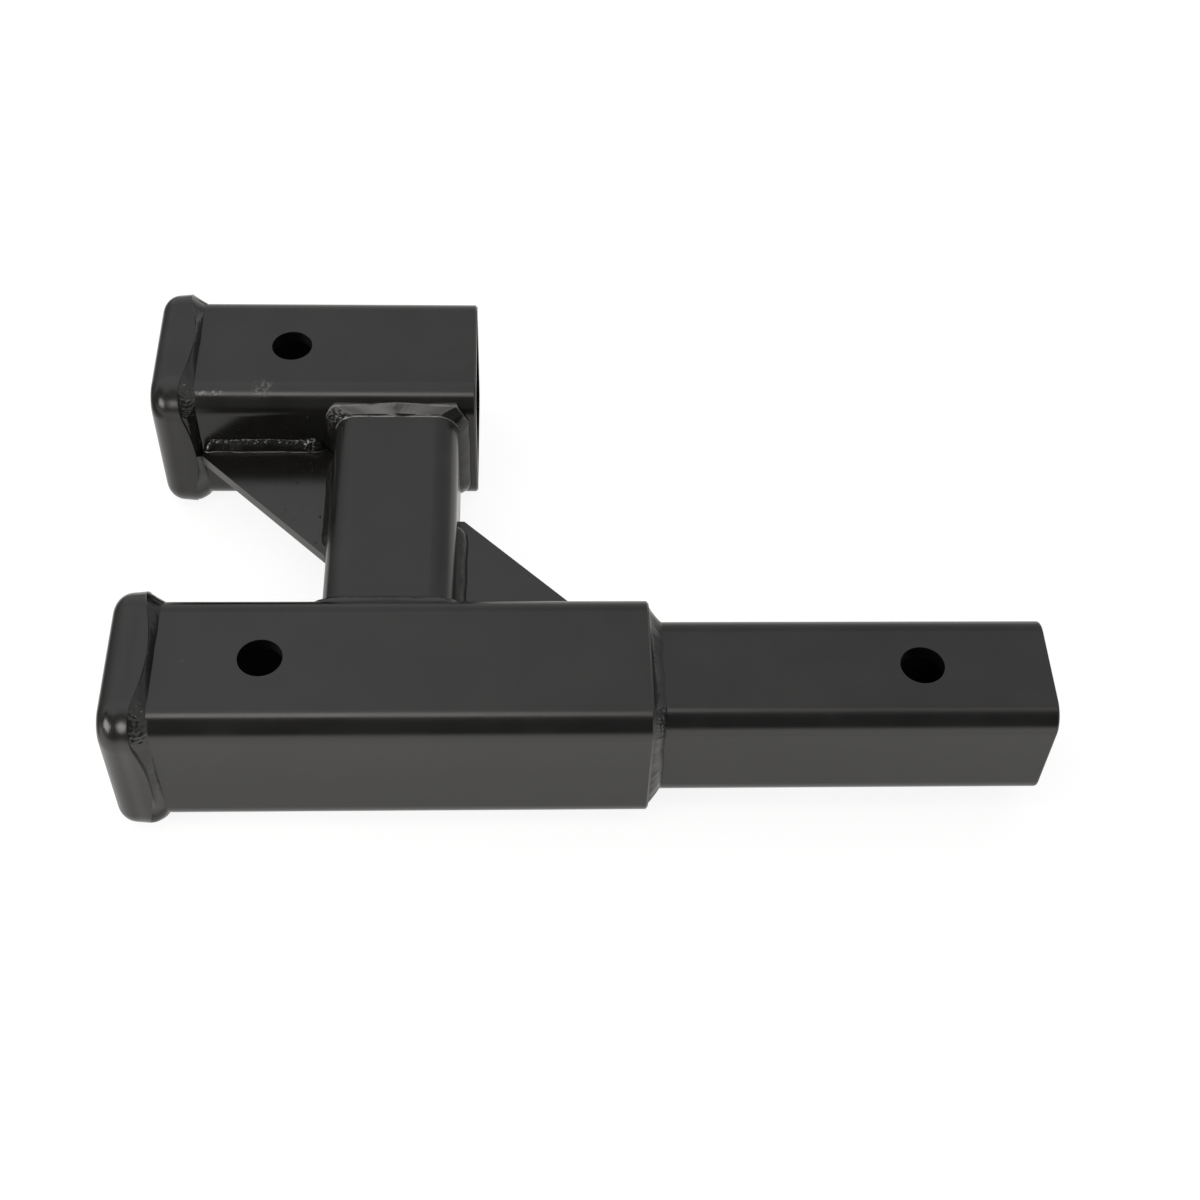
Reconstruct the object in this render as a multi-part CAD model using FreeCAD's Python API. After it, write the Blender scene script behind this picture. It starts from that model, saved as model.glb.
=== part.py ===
import FreeCAD, Part
import math
import os

# Hitch receiver extender: a welded steel tube that plugs into a square hitch receiver and
# carries two receivers, one in line with its shank and one beside it on a post.
# It lies on its side: +X runs along the shank to the vehicle, +Z along the pin holes and
# +Y from the lower receiver to the upper one. The origin is the shank's pin hole, on the
# shank's axis. Every length is in millimetres.

# Overall layout
OVERALL_LENGTH = 350.0
SHANK_HOLE_SETBACK = 48.5
RECEIVER_HOLE_SETBACK = 56.5
RECEIVER_GAP = 100.0
LOWER_RECEIVER_LENGTH = 200.0
UPPER_RECEIVER_LENGTH = 133.5

# Two inch square tube, the stock of the shank and the post
TUBE_WIDTH = 50.8
TUBE_CORNER = 9.5
TUBE_WALL = 6.35
SHANK_INSERT = 50.0
SHANK_END_ROUND = 1.0

# Receiver tubes and their pin holes
RECEIVER_WALL = 5.6
RECEIVER_CORNER = 10.0
SOCKET_CLEARANCE = 0.25
CUT_END_CHAMFER = 0.8
LEAST_INNER_CORNER = 0.5
PIN_DIAMETER = 15.9
PIN_CLEARANCE = 0.4

# Forged collars round the receiver mouths, flared to the back and dished there
COLLAR_WIDTH = 16.3
COLLAR_PROUD = 4.3
COLLAR_FLARE = 1.4
COLLAR_DISH = 4.2
COLLAR_NOSE = 7.5
COLLAR_LIP = 6.0
COLLAR_FIT = 0.15
COLLAR_LEAD_IN = 1.0
COLLAR_NOSE_LAND = 0.6

# Gusset plates
GUSSET_THICKNESS = 5.0
GUSSET_RECEIVER_TOE = 5.1
GUSSET_POST_TOE = 2.5
GUSSET_COLLAR_GAP = 0.3
GUSSET_SNIPE_GAP = 0.9

# Weld beads
BEAD_TOE = 0.3
BEAD_CROWN = 0.45
COLLAR_BEAD_LEG = 2.6
COLLAR_BEAD_LAND = 0.25
SHANK_BEAD_LEG = 5.1
SHANK_BEAD_LAND = 0.25
POST_BEAD_LEG = 4.2
POST_BEAD_RISE = 2.2
POST_BEAD_CORNER = 5.0
POST_END_LAND = 2.3
COPE_OVERRUN = 0.4
GUSSET_BEAD_LEG = 4.2

# Widths that follow from the ones above
SOCKET_WIDTH = TUBE_WIDTH + 2 * SOCKET_CLEARANCE
RECEIVER_WIDTH = SOCKET_WIDTH + 2 * RECEIVER_WALL
PIN_HOLE_RADIUS = PIN_DIAMETER / 2 + PIN_CLEARANCE
COLLAR_OUTER_CORNER = RECEIVER_CORNER + COLLAR_PROUD
COLLAR_BACK_HALF = RECEIVER_WIDTH / 2 + COLLAR_PROUD

# Places along the shank
SHANK_END_X = SHANK_HOLE_SETBACK
MOUTH_X = SHANK_END_X - OVERALL_LENGTH
RECEIVER_HOLE_X = MOUTH_X + RECEIVER_HOLE_SETBACK
COLLAR_BACK_X = MOUTH_X + COLLAR_WIDTH
STEP_X = MOUTH_X + LOWER_RECEIVER_LENGTH
UPPER_END_X = MOUTH_X + UPPER_RECEIVER_LENGTH

# The post stands where its bead just clears the upper receiver's cut end
POST_BEAD_REACH = POST_BEAD_LEG + 2 * BEAD_TOE
POST_X = UPPER_END_X - POST_END_LAND - POST_BEAD_REACH - TUBE_WIDTH / 2
UPPER_Y = RECEIVER_GAP + RECEIVER_WIDTH
POST_MIDDLE = FreeCAD.Vector(POST_X, UPPER_Y / 2, 0)

# Each gusset reaches from the post to the upper collar's bead, and clears the post's bead
COLLAR_BEAD_END_X = COLLAR_BACK_X + COLLAR_BEAD_LEG
GUSSET_REACH = POST_X - TUBE_WIDTH / 2 - COLLAR_BEAD_END_X - GUSSET_COLLAR_GAP
GUSSET_LEG = GUSSET_REACH + GUSSET_RECEIVER_TOE
GUSSET_SNIPE = POST_BEAD_REACH + GUSSET_SNIPE_GAP

X_AXIS = FreeCAD.Vector(1, 0, 0)
Z_AXIS = FreeCAD.Vector(0, 0, 1)


def rounded_outline(width_y, width_z, corner, x):
    """Closed outline of a rectangle with round corners, square to X and centred on the X axis."""
    flat_y = width_y / 2 - corner
    flat_z = width_z / 2 - corner
    signs = ((1, 1), (-1, 1), (-1, -1), (1, -1))
    centres = [FreeCAD.Vector(x, side_y * flat_y, side_z * flat_z) for side_y, side_z in signs]
    edges = []
    for quarter, centre in enumerate(centres):
        spokes = []
        for step in range(3):
            angle = math.radians(90 * quarter + 45 * step)
            spokes.append(FreeCAD.Vector(0, math.cos(angle), math.sin(angle)) * corner)
        arc_points = [centre + spoke for spoke in spokes]
        next_corner_start = centres[(quarter + 1) % 4] + spokes[2]
        edges.append(Part.Arc(*arc_points).toShape())
        edges.append(Part.LineSegment(arc_points[2], next_corner_start).toShape())
    return Part.Wire(edges)


def square_bar(width, corner, start_x, end_x):
    """Solid bar with round corners along X."""
    outline = rounded_outline(width, width, corner, start_x)
    return Part.Face(outline).extrude(FreeCAD.Vector(end_x - start_x, 0, 0))


def edges_at(shape, x):
    """Edges of a bar that lie in the plane square to X at x."""
    tolerance = 0.001
    chosen = []
    for edge in shape.Edges:
        box = edge.BoundBox
        if abs(box.XMin - x) < tolerance and abs(box.XMax - x) < tolerance:
            chosen.append(edge)
    return chosen


def inner_corner(corner, wall):
    """Inside corner radius of a tube wall."""
    return max(corner - wall, LEAST_INNER_CORNER)


def pin_hole(x, width):
    """Drill for one cross hole through both walls of a tube."""
    base = FreeCAD.Vector(x, 0, -width)
    return Part.makeCylinder(PIN_HOLE_RADIUS, 2 * width, base, Z_AXIS)


def tube_bore(start_x, end_x):
    """The space inside the two inch tube."""
    return square_bar(TUBE_WIDTH - 2 * TUBE_WALL, inner_corner(TUBE_CORNER, TUBE_WALL), start_x, end_x)


def shank_tube():
    """The shank: its inner end lies inside the lower receiver."""
    start_x = STEP_X - SHANK_INSERT
    bar = square_bar(TUBE_WIDTH, TUBE_CORNER, start_x, SHANK_END_X)
    bar = bar.makeFillet(SHANK_END_ROUND, edges_at(bar, SHANK_END_X))
    return bar.cut(tube_bore(start_x, SHANK_END_X)).cut(pin_hole(0, TUBE_WIDTH))


def receiver_tube(end_x):
    """A receiver tube on the X axis, from the collar's shoulder to its cut end."""
    start_x = MOUTH_X + COLLAR_LIP
    bar = square_bar(RECEIVER_WIDTH, RECEIVER_CORNER, start_x, end_x)
    bar = bar.makeChamfer(CUT_END_CHAMFER, edges_at(bar, end_x))
    socket = square_bar(SOCKET_WIDTH, inner_corner(RECEIVER_CORNER, RECEIVER_WALL), start_x, end_x)
    return bar.cut(socket).cut(pin_hole(RECEIVER_HOLE_X, RECEIVER_WIDTH))


def collar_dish():
    """Cone that bounds a collar's back, so that its corners end ahead of the middles of its sides."""
    corner_reach = (math.sqrt(2) - 1) * (COLLAR_BACK_HALF - COLLAR_OUTER_CORNER)
    slope = COLLAR_DISH / corner_reach
    front_radius = COLLAR_BACK_HALF + COLLAR_WIDTH / slope
    front = FreeCAD.Vector(MOUTH_X, 0, 0)
    return Part.makeCone(front_radius, 0, front_radius * slope, front, X_AXIS)


def collar_blank():
    """A collar's outer form: a flared bar with a round nose and a dished back."""
    front_width = 2 * (COLLAR_BACK_HALF - COLLAR_FLARE)
    ring = Part.makeLoft([
        rounded_outline(front_width, front_width, COLLAR_OUTER_CORNER - COLLAR_FLARE, MOUTH_X),
        rounded_outline(2 * COLLAR_BACK_HALF, 2 * COLLAR_BACK_HALF, COLLAR_OUTER_CORNER, COLLAR_BACK_X),
    ], True, True)
    lip_wall = (front_width - SOCKET_WIDTH) / 2
    half_bend = (math.pi / 2 - math.atan(COLLAR_FLARE / COLLAR_WIDTH)) / 2
    room = (lip_wall - COLLAR_LEAD_IN - COLLAR_NOSE_LAND) / math.tan(half_bend)
    ring = ring.makeFillet(min(COLLAR_NOSE, room), edges_at(ring, MOUTH_X))
    return ring.common(collar_dish())


def collar():
    """Forged ring round a mouth: its lip covers the tube's end and its skirt wraps the tube."""
    pocket_width = RECEIVER_WIDTH + 2 * COLLAR_FIT
    pocket_corner = RECEIVER_CORNER + COLLAR_FIT
    pocket = square_bar(pocket_width, pocket_corner, MOUTH_X + COLLAR_LIP, COLLAR_BEAD_END_X)
    socket_corner = inner_corner(RECEIVER_CORNER, RECEIVER_WALL)
    socket = square_bar(SOCKET_WIDTH, socket_corner, MOUTH_X, COLLAR_BEAD_END_X)
    mouth_width = SOCKET_WIDTH + 2 * COLLAR_LEAD_IN
    lead_in = Part.makeLoft([
        rounded_outline(mouth_width, mouth_width, socket_corner + COLLAR_LEAD_IN, MOUTH_X),
        rounded_outline(SOCKET_WIDTH, SOCKET_WIDTH, socket_corner, MOUTH_X + COLLAR_LEAD_IN),
    ], True, True)
    return collar_blank().cut(pocket).cut(socket).cut(lead_in)


def bead_section(leg, rise):
    """Fillet weld section in X and Z: leg along X, rise along Z, with a convex face."""
    points = [
        FreeCAD.Vector(0, 0, 0),
        FreeCAD.Vector(leg, 0, 0),
        FreeCAD.Vector(leg, 0, BEAD_TOE),
        FreeCAD.Vector(BEAD_TOE, 0, rise),
        FreeCAD.Vector(0, 0, rise),
    ]
    slope = points[2] - points[3]
    outward = FreeCAD.Vector(-slope.z, 0, slope.x).normalize()
    crown = (points[2] + points[3]) * 0.5 + outward * BEAD_CROWN
    edges = [
        Part.LineSegment(points[0], points[1]).toShape(),
        Part.LineSegment(points[1], points[2]).toShape(),
        Part.Arc(points[2], crown, points[3]).toShape(),
        Part.LineSegment(points[3], points[4]).toShape(),
        Part.LineSegment(points[4], points[0]).toShape(),
    ]
    return Part.Face(Part.Wire(edges))


def flank_depth(height):
    """How far a receiver's side has curved back at this height above its middle."""
    above_flat = max(height - (RECEIVER_WIDTH / 2 - RECEIVER_CORNER), 0)
    return RECEIVER_CORNER - math.sqrt(RECEIVER_CORNER ** 2 - above_flat ** 2)


def raised(shape):
    """Copy moved from the lower receiver's axis to the upper one's."""
    copy = shape.copy()
    copy.translate(FreeCAD.Vector(0, UPPER_Y, 0))
    return copy


def receiver_bar():
    """A receiver's outer form as a solid bar past both sides of the post."""
    return square_bar(RECEIVER_WIDTH, RECEIVER_CORNER, MOUTH_X, POST_X + TUBE_WIDTH)


def along_post(shape):
    """Turns a shape drawn along X so that its origin is the post's foot and X points up the post."""
    shape.rotate(FreeCAD.Vector(0, 0, 0), Z_AXIS, 90)
    shape.translate(FreeCAD.Vector(POST_X, RECEIVER_WIDTH / 2, 0))
    return shape


def half_turn(shape):
    """Copy turned half round the middle of the post, which swaps the two receivers."""
    turned = shape.copy()
    turned.rotate(POST_MIDDLE, Z_AXIS, 180)
    return turned


def post_blank():
    """The post's stock, long enough to be coped round both receivers."""
    cope = flank_depth(TUBE_WIDTH / 2) + COPE_OVERRUN
    return along_post(square_bar(TUBE_WIDTH, TUBE_CORNER, -cope, RECEIVER_GAP + cope))


def post_tube():
    """The post between the receivers, with both ends coped to their round corners."""
    bore = along_post(tube_bore(-TUBE_WIDTH, RECEIVER_GAP + TUBE_WIDTH))
    return post_blank().cut(bore).cut(receiver_bar()).cut(raised(receiver_bar()))


def post_bead():
    """Weld all round the post's foot: it fills the groove beside the receiver's round corners."""
    root = flank_depth(TUBE_WIDTH / 2 + POST_BEAD_RISE) + COPE_OVERRUN
    outlines = []
    for share, crown in ((0, 0), (0.5, BEAD_CROWN), (1, 0)):
        along = POST_BEAD_LEG - share * (POST_BEAD_LEG + root)
        spread = BEAD_TOE + share * (POST_BEAD_LEG + root) + crown
        rise = BEAD_TOE + share * (POST_BEAD_RISE - BEAD_TOE) + crown
        corner = TUBE_CORNER + share * (POST_BEAD_CORNER - TUBE_CORNER) + rise
        outlines.append(rounded_outline(TUBE_WIDTH + 2 * spread, TUBE_WIDTH + 2 * rise, corner, along))
    sleeve = along_post(Part.makeLoft(outlines, True, True))
    return sleeve.cut(post_blank()).cut(receiver_bar())


def gusset():
    """Lower gusset plate: a right triangle with clipped toes and a sniped inner corner."""
    outline = [
        (GUSSET_SNIPE, 0),
        (GUSSET_LEG - GUSSET_RECEIVER_TOE, 0),
        (GUSSET_LEG - GUSSET_RECEIVER_TOE, GUSSET_RECEIVER_TOE),
        (GUSSET_POST_TOE, GUSSET_LEG - GUSSET_POST_TOE),
        (0, GUSSET_LEG - GUSSET_POST_TOE),
        (0, GUSSET_SNIPE),
    ]
    points = [FreeCAD.Vector(x, y, -GUSSET_THICKNESS / 2) for x, y in outline]
    plate = Part.Face(Part.makePolygon(points + points[:1])).extrude(Z_AXIS * GUSSET_THICKNESS)
    return in_lower_corner(plate)


def in_lower_corner(shape):
    """Moves a shape from the origin to the corner of the lower receiver and the post."""
    shape.translate(FreeCAD.Vector(POST_X + TUBE_WIDTH / 2, RECEIVER_WIDTH / 2, 0))
    return shape


def fillet_run(start, end):
    """Fillet weld along Y from start to end on the plane Z = 0, against the plane X = 0."""
    section = bead_section(GUSSET_BEAD_LEG, GUSSET_BEAD_LEG)
    section.translate(FreeCAD.Vector(0, start, 0))
    run = section.extrude(FreeCAD.Vector(0, end - start, 0))
    near_end = section.revolve(FreeCAD.Vector(0, start, 0), Z_AXIS, -90)
    section.translate(FreeCAD.Vector(0, end - start, 0))
    far_end = section.revolve(FreeCAD.Vector(0, end, 0), Z_AXIS, 90)
    return run.fuse([near_end, far_end]).removeSplitter()


def gusset_beads():
    """The four fillet welds of the lower gusset, by name."""
    start = GUSSET_SNIPE + GUSSET_BEAD_LEG
    post_end = GUSSET_LEG - GUSSET_POST_TOE - 2 * GUSSET_BEAD_LEG
    receiver_end = GUSSET_LEG - GUSSET_RECEIVER_TOE - GUSSET_BEAD_LEG
    beads = {}
    for member, end in (("post", post_end), ("receiver", receiver_end)):
        bead = fillet_run(start, end)
        if member == "receiver":
            bead = bead.mirror(FreeCAD.Vector(0, 0, 0), FreeCAD.Vector(1, -1, 0))
        bead.translate(FreeCAD.Vector(0, 0, GUSSET_THICKNESS / 2))
        top = in_lower_corner(bead)
        beads[member + "_weld_top"] = top
        beads[member + "_weld_bottom"] = top.mirror(FreeCAD.Vector(0, 0, 0), Z_AXIS)
    return beads


def ring_bead(start_x, start_width, start_corner, end_x, end_width, end_corner):
    """Convex weld form all round a bar, from one outline at start_x to its toe's at end_x."""
    outlines = []
    for share, crown in ((0, 0), (0.5, BEAD_CROWN), (1, 0)):
        x = start_x + share * (end_x - start_x)
        width = start_width + share * (end_width - start_width) + 2 * crown
        corner = start_corner + share * (end_corner - start_corner) + crown
        outlines.append(rounded_outline(width, width, corner, x))
    return Part.makeLoft(outlines, True, True)


def collar_bead():
    """Weld behind a collar: it meets the collar's edge at the corners and lies lower along the sides."""
    start_x = COLLAR_BACK_X - COLLAR_DISH
    rise = COLLAR_PROUD - COLLAR_FLARE * COLLAR_DISH / COLLAR_WIDTH - COLLAR_BEAD_LAND
    form = ring_bead(start_x, RECEIVER_WIDTH + 2 * rise, RECEIVER_CORNER + rise,
                     COLLAR_BEAD_END_X, RECEIVER_WIDTH + 2 * BEAD_TOE, RECEIVER_CORNER + BEAD_TOE)
    return form.cut(collar_blank()).cut(receiver_bar())


def shank_bead():
    """Weld all round the shank that covers the lower receiver's cut end."""
    land = CUT_END_CHAMFER + SHANK_BEAD_LAND
    form = ring_bead(STEP_X, RECEIVER_WIDTH - 2 * land, RECEIVER_CORNER - land,
                     STEP_X + SHANK_BEAD_LEG, TUBE_WIDTH + 2 * BEAD_TOE, TUBE_CORNER + BEAD_TOE)
    return form.cut(square_bar(TUBE_WIDTH, TUBE_CORNER, STEP_X, SHANK_END_X))


def build():
    """Every piece by its node name."""
    mouth_collar = collar()
    mouth_bead = collar_bead()
    foot_bead = post_bead()
    plate = gusset()
    pieces = {
        "shank_tube": shank_tube(),
        "lower_receiver_tube": receiver_tube(STEP_X),
        "upper_receiver_tube": raised(receiver_tube(UPPER_END_X)),
        "lower_collar": mouth_collar,
        "upper_collar": raised(mouth_collar),
        "post_tube": post_tube(),
        "lower_gusset": plate,
        "upper_gusset": half_turn(plate),
        "shank_weld": shank_bead(),
        "lower_collar_weld": mouth_bead,
        "upper_collar_weld": raised(mouth_bead),
        "lower_post_weld": foot_bead,
        "upper_post_weld": half_turn(foot_bead),
    }
    for name, bead in gusset_beads().items():
        pieces["lower_gusset_" + name] = bead
        pieces["upper_gusset_" + name] = half_turn(bead)
    return pieces


os.makedirs("parts", exist_ok=True)
for node, piece in build().items():
    piece.exportStep("parts/" + node + ".step")
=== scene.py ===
import math
import random

import bmesh
import bpy
from mathutils import Matrix, Vector


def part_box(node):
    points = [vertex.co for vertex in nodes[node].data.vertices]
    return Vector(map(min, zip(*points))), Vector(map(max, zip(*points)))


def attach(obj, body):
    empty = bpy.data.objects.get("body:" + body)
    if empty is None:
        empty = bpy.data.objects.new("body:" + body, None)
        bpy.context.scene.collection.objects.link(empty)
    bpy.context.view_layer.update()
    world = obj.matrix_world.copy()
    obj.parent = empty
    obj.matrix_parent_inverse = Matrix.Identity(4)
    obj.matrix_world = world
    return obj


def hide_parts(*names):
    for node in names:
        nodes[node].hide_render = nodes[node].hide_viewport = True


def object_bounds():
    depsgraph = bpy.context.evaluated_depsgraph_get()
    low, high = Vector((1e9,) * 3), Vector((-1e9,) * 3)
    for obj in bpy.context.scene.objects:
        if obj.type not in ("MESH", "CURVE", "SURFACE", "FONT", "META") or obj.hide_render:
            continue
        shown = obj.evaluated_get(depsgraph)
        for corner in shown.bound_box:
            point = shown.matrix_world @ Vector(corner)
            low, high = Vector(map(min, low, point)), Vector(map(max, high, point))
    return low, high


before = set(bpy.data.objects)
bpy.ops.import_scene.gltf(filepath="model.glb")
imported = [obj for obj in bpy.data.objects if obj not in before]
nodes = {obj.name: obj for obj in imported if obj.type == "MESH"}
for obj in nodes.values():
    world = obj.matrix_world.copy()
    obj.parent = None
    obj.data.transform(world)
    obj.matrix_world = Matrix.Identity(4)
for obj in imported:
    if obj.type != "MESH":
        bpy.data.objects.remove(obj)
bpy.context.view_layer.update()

# Shank: two inch square steel tube that plugs into the vehicle's hitch receiver.
# It is mill tube with round corners, sawn square, drilled for one hitch pin and powder
# coated satin black together with everything welded to it.
COAT_BLACK = (0.0085, 0.0080, 0.0076)
COAT_DUSTY = (0.0125, 0.0120, 0.0115)
DUST = (0.16, 0.155, 0.145)
# Pale colour of rubbed metal on the receivers, also used for the painted glints on the beads
WORN_AND_GLINT = (0.34, 0.33, 0.31)
# Near black painted into the bores and pin holes: painted shade
SHADE_PAINTED_INSIDE = (0.002, 0.002, 0.002)
TUBE_CORNER = 0.0095
BORE_HALF = 0.01915
SOCKET_HALF = 0.02575
PIN_HOLE_RADIUS = 0.00835
RECEIVER_HOLE_X = -0.245
HOLE_RIM = 0.0003
CLOUD_SCALE = 45
SPECK_SCALE = 75.0
SPECK_RARITY = 0.965
SKIN_SCALE = 55
PEEL_SCALE = 420
GRIT_SCALE = 900
GRIT_SHARE = 0.25
COAT_IOR = 1.5
INSIDE_ROUGHER = 0.4
INSIDE_LESS_SHINE = -0.42


def add_node(tree, kind, inputs=(), **settings):
    """New node with its properties set and its inputs given as numbers or linked from sockets."""
    made = tree.nodes.new(kind)
    for key, value in settings.items():
        setattr(made, key, value)
    for key, value in dict(inputs).items():
        socket = made.inputs[key]
        if isinstance(value, bpy.types.NodeSocket):
            tree.links.new(value, socket)
        else:
            socket.default_value = value
    return made


def maths(tree, operation, *values, clamp=False):
    """Output of one Math node on sockets or numbers."""
    made = add_node(tree, "ShaderNodeMath", enumerate(values), operation=operation)
    made.use_clamp = clamp
    return made.outputs[0]


def noise(tree, vector, scale, detail=2.0, roughness=0.5):
    """Height from 0 to 1 of a Noise Texture at a scale in features a metre."""
    inputs = {"Vector": vector, "Scale": scale, "Detail": detail, "Roughness": roughness}
    return add_node(tree, "ShaderNodeTexNoise", inputs).outputs["Fac"]


def blend(tree, factor, first, second):
    """Colour between two, by a factor socket."""
    made = add_node(tree, "ShaderNodeMix", data_type="RGBA")
    tree.links.new(factor, made.inputs["Factor"])
    for name, value in (("A", first), ("B", second)):
        socket = [s for s in made.inputs if s.name == name and s.type == "RGBA"][0]
        if isinstance(value, bpy.types.NodeSocket):
            tree.links.new(value, socket)
        else:
            socket.default_value = (*value, 1)
    return [s for s in made.outputs if s.type == "RGBA"][0]


def band(tree, value, low, high, to_low=0.0, to_high=1.0):
    """Value mapped smoothly from one range to another and held at its ends."""
    inputs = {"Value": value, "From Min": low, "From Max": high, "To Min": to_low, "To Max": to_high}
    made = add_node(tree, "ShaderNodeMapRange", inputs, interpolation_type="SMOOTHSTEP")
    return made.outputs["Result"]


def within(tree, value, middle, reach):
    """1 where a value lies nearer to the middle than the reach, else 0."""
    off = maths(tree, "ABSOLUTE", maths(tree, "SUBTRACT", value, middle))
    return maths(tree, "LESS_THAN", off, reach)


def painted_shade_inside(tree, place, bores, drills):
    """1 inside the tubes' bores and pin holes, where the colour is painted near black as shade and the coat
    is dull, else 0.
    """
    x, y, z = add_node(tree, "ShaderNodeSeparateXYZ", {"Vector": place}).outputs
    found = 0.0
    for start_x, end_x, centre_y, half in bores:
        across = maths(tree, "MULTIPLY", within(tree, y, centre_y, half), within(tree, z, 0.0, half))
        along = within(tree, x, (start_x + end_x) / 2, (end_x - start_x) / 2)
        found = maths(tree, "MAXIMUM", found, maths(tree, "MULTIPLY", across, along))
    for centre_x, centre_y, depth in drills:
        off_x = maths(tree, "POWER", maths(tree, "SUBTRACT", x, centre_x), 2.0)
        off_y = maths(tree, "POWER", maths(tree, "SUBTRACT", y, centre_y), 2.0)
        off = maths(tree, "SQRT", maths(tree, "ADD", off_x, off_y))
        drilled = maths(tree, "LESS_THAN", off, PIN_HOLE_RADIUS * 1.01)
        drilled = maths(tree, "MULTIPLY", drilled, within(tree, z, 0.0, depth))
        found = maths(tree, "MAXIMUM", found, drilled)
    return found


def powder_coat(name, gloss, peel, wave, bores=(), drills=(), flare=None, wear_and_glints=None, shine=0.5):
    """Powder coat: orange peel over a slightly wavy skin, cloudy sheen and a few specks of dust.

    Gloss is its least roughness; peel and wave are the heights of the orange peel and of the
    slower waves. Flare adds a height to the skin; the function for wear gives the share of pale colour,
    real rubbed metal on the receivers and painted glints standing in for highlights on the beads.
    """
    made = bpy.data.materials.new(name)
    made.use_nodes = True
    tree = made.node_tree
    tree.nodes.clear()
    place = add_node(tree, "ShaderNodeTexCoord").outputs["Object"]

    clouds = noise(tree, place, CLOUD_SCALE, 3.0)
    specks = add_node(tree, "ShaderNodeTexVoronoi", {"Vector": place, "Scale": SPECK_SCALE})
    rarity = add_node(tree, "ShaderNodeSeparateColor", {"Color": specks.outputs["Color"]})
    near_centre = band(tree, specks.outputs["Distance"], 0.012, 0.03, 1.0, 0.0)
    chosen = maths(tree, "GREATER_THAN", rarity.outputs[0], SPECK_RARITY)
    dust = maths(tree, "MULTIPLY", near_centre, chosen)
    shade = blend(tree, band(tree, clouds, 0.35, 0.7), COAT_BLACK, COAT_DUSTY)
    colour = blend(tree, maths(tree, "MULTIPLY", dust, 0.8), shade, DUST)
    # Pale colour: real rubbed metal on the receivers, and painted glints standing in for highlights on the
    # beads
    if wear_and_glints:
        colour = blend(tree, wear_and_glints(tree, place), colour, WORN_AND_GLINT)

    patchy = band(tree, clouds, 0.3, 0.7, gloss - 0.02, gloss + 0.03)
    rough = maths(tree, "ADD", patchy, maths(tree, "MULTIPLY", dust, 0.3))
    # Painted shade: inside the bores and pin holes the colour goes to near black, and the coat is rougher
    # and shines less
    if bores:
        shaded_inside = painted_shade_inside(tree, place, bores, drills)
        colour = blend(tree, shaded_inside, colour, SHADE_PAINTED_INSIDE)
        rough = maths(tree, "ADD", rough, maths(tree, "MULTIPLY", shaded_inside, INSIDE_ROUGHER))
        shine = maths(tree, "MULTIPLY_ADD", shaded_inside, INSIDE_LESS_SHINE, shine)

    skin = maths(tree, "MULTIPLY", noise(tree, place, SKIN_SCALE, 1.0), wave)
    orange_peel = maths(tree, "MULTIPLY", noise(tree, place, PEEL_SCALE, 1.5), peel)
    grit = maths(tree, "MULTIPLY", noise(tree, place, GRIT_SCALE, 2.0), peel * GRIT_SHARE)
    height = maths(tree, "ADD", maths(tree, "ADD", skin, orange_peel), grit)
    if flare:
        height = maths(tree, "ADD", height, flare(tree, place))
    bump = add_node(tree, "ShaderNodeBump", {"Strength": 1.0, "Distance": 1.0, "Height": height})

    shader = add_node(tree, "ShaderNodeBsdfPrincipled", {
        "Base Color": colour, "Roughness": rough, "Normal": bump.outputs["Normal"],
        "IOR": COAT_IOR, "Specular IOR Level": shine,
    })
    output = add_node(tree, "ShaderNodeOutputMaterial")
    tree.links.new(shader.outputs[0], output.inputs["Surface"])
    return made


def dress(node, material):
    """Gives a CAD node its finish."""
    mesh = nodes[node].data
    mesh.materials.clear()
    mesh.materials.append(material)


shank_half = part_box("shank_tube")[1].z
lower_low, lower_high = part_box("lower_receiver_tube")
upper_low, upper_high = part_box("upper_receiver_tube")
receiver_half = lower_high.z
step_x = lower_high.x
upper_y = (upper_low.y + upper_high.y) / 2
drill_depth = receiver_half - HOLE_RIM
tube_bores = [
    (step_x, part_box("shank_tube")[1].x, 0.0, BORE_HALF),
    (lower_low.x, step_x, 0.0, SOCKET_HALF),
    (upper_low.x, upper_high.x, upper_y, SOCKET_HALF),
]
tube_drills = [
    (0.0, 0.0, shank_half - HOLE_RIM),
    (RECEIVER_HOLE_X, 0.0, drill_depth),
    (RECEIVER_HOLE_X, upper_y, drill_depth),
]
tube_coat = powder_coat(
    "tube_powder_coat", gloss=0.22, peel=0.000006, wave=0.00005, bores=tube_bores, drills=tube_drills
)
dress("shank_tube", tube_coat)

# Receiver tubes: larger square tube that takes a 51 mm hitch shank inside, one in line
# with the shank and a shorter one beside it. Sawn from the same black coated stock; handling
# has scuffed the upper one beside its near top edge and scratched the lower one.
RECEIVER_CORNER = 0.010
SCUFF_SCALE = 650

# Centre in X and Y, reach in X and Y, and strength of each scuff
SCUFFS = (
    (-0.2555, 0.1385, 0.0055, 0.0050, 0.22),
    (-0.2765, 0.1362, 0.0080, 0.0013, 0.40),
    (-0.2715, -0.0013, 0.0040, 0.0003, 0.20),
)


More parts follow.
